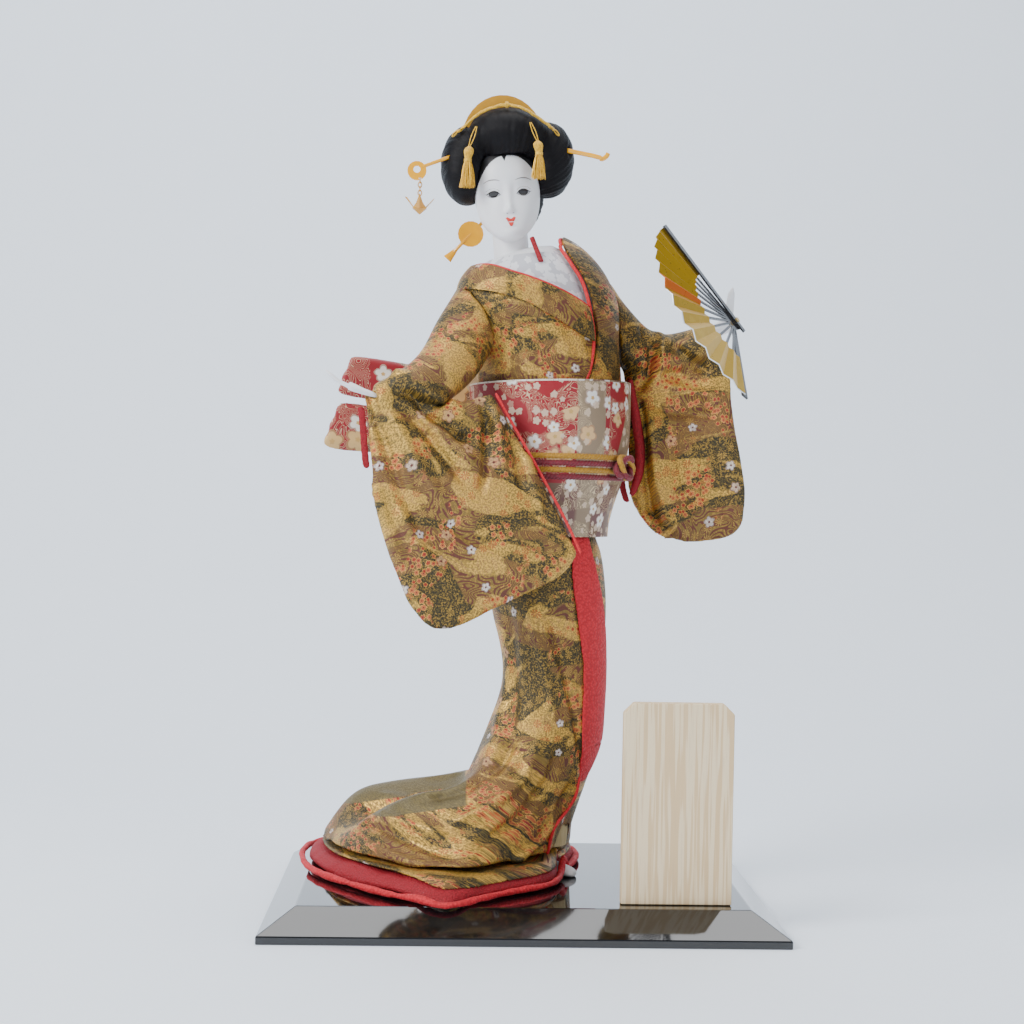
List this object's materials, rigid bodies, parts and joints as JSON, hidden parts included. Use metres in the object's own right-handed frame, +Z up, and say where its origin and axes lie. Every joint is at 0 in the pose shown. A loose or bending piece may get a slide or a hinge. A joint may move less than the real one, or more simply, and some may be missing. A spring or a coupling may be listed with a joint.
{
  "type": "japanese doll",
  "caption": "Standing dance doll in an olive brocade kimono with a spread train, obi bow and open fan, on a black lacquered board with a bare name tablet.",
  "frame": {"origin": "middle of the board's underside", "axes": "+Z up, -Y towards the viewer of the picture, +X to the viewer's right"},
  "size_m": [0.3, 0.225, 0.4993],
  "materials": {
    "black_lacquer": "high-gloss black lacquer",
    "plaque_wood": "bare pale softwood",
    "steel": "plain drawn rod",
    "straw_body": "bound straw body wrapped in paper",
    "white_skin": "matte white shell-powder finish",
    "white_cloth": "white cotton",
    "black_hair": "dressed black silk hair",
    "amber": "clear amber celluloid",
    "gold_thread": "twisted gold thread",
    "olive_brocade": "olive brocade with gold thread",
    "crimson_cloth": "crimson silk lining",
    "coral_crepe": "coral crepe",
    "obi_brocade": "red and taupe woven silk",
    "obi_cream": "cream woven silk",
    "maroon_cord": "braided silk cord",
    "gold_paper": "pleated gold paper",
    "black_bamboo": "black lacquered bamboo"
  },
  "bodies": {
    "doll": {"base_board": "black_lacquer", "name_plaque": "plaque_wood", "support_rod": "steel", "body_core": "straw_body", "head": "white_skin", "right_hand": "white_skin", "left_hand": "white_skin", "right_foot": "white_cloth", "left_foot": "white_cloth", "wig": "black_hair", "topknot": "black_hair", "comb": "amber", "hair_cord": "gold_thread", "tassel_right": "gold_thread", "tassel_left": "gold_thread", "pin_flower": "amber", "pin_hook": "amber", "pin_nape": "amber", "bodice": "olive_brocade", "under_collar": "white_cloth", "collar": "olive_brocade", "collar_piping": "coral_crepe", "collar_strip": "crimson_cloth", "obi": "obi_brocade", "obi_top_band": "obi_cream", "obi_cord_1": "gold_thread", "obi_cord_2": "maroon_cord", "obi_cord_3": "gold_thread", "obi_cord_4": "maroon_cord", "obi_knot": "maroon_cord", "bow_wing_upper_right": "obi_brocade", "bow_wing_lower_right": "obi_brocade", "bow_wing_upper_left": "obi_brocade", "bow_wing_lower_left": "obi_brocade", "bow_wrap": "obi_cream", "skirt": "olive_brocade", "under_panel": "olive_brocade", "front_band": "coral_crepe", "crimson_layer": "crimson_cloth", "coral_hem": "coral_crepe", "right_sleeve": "olive_brocade", "right_sleeve_lining": "crimson_cloth", "right_sleeve_piping": "coral_crepe", "left_sleeve": "olive_brocade", "left_sleeve_lining": "crimson_cloth", "fan_leaf": "gold_paper", "fan_ribs": "black_bamboo", "fan_guard_upper": "black_bamboo", "fan_guard_lower": "black_bamboo", "fan_rivet": "gold_thread"},
    "charm": {"chain_link_1": "amber", "chain_link_2": "amber", "chain_link_3": "amber", "chain_link_4": "amber", "crane_charm": "amber"}
  },
  "joints": [
    {"name": "charm_swing", "type": "hinge", "parent": "doll", "child": "charm", "pos_m": [-0.0688, -0.011, 0.4451], "axis": [1, 0, 0], "range_deg": [-20, 20]}
  ]
}
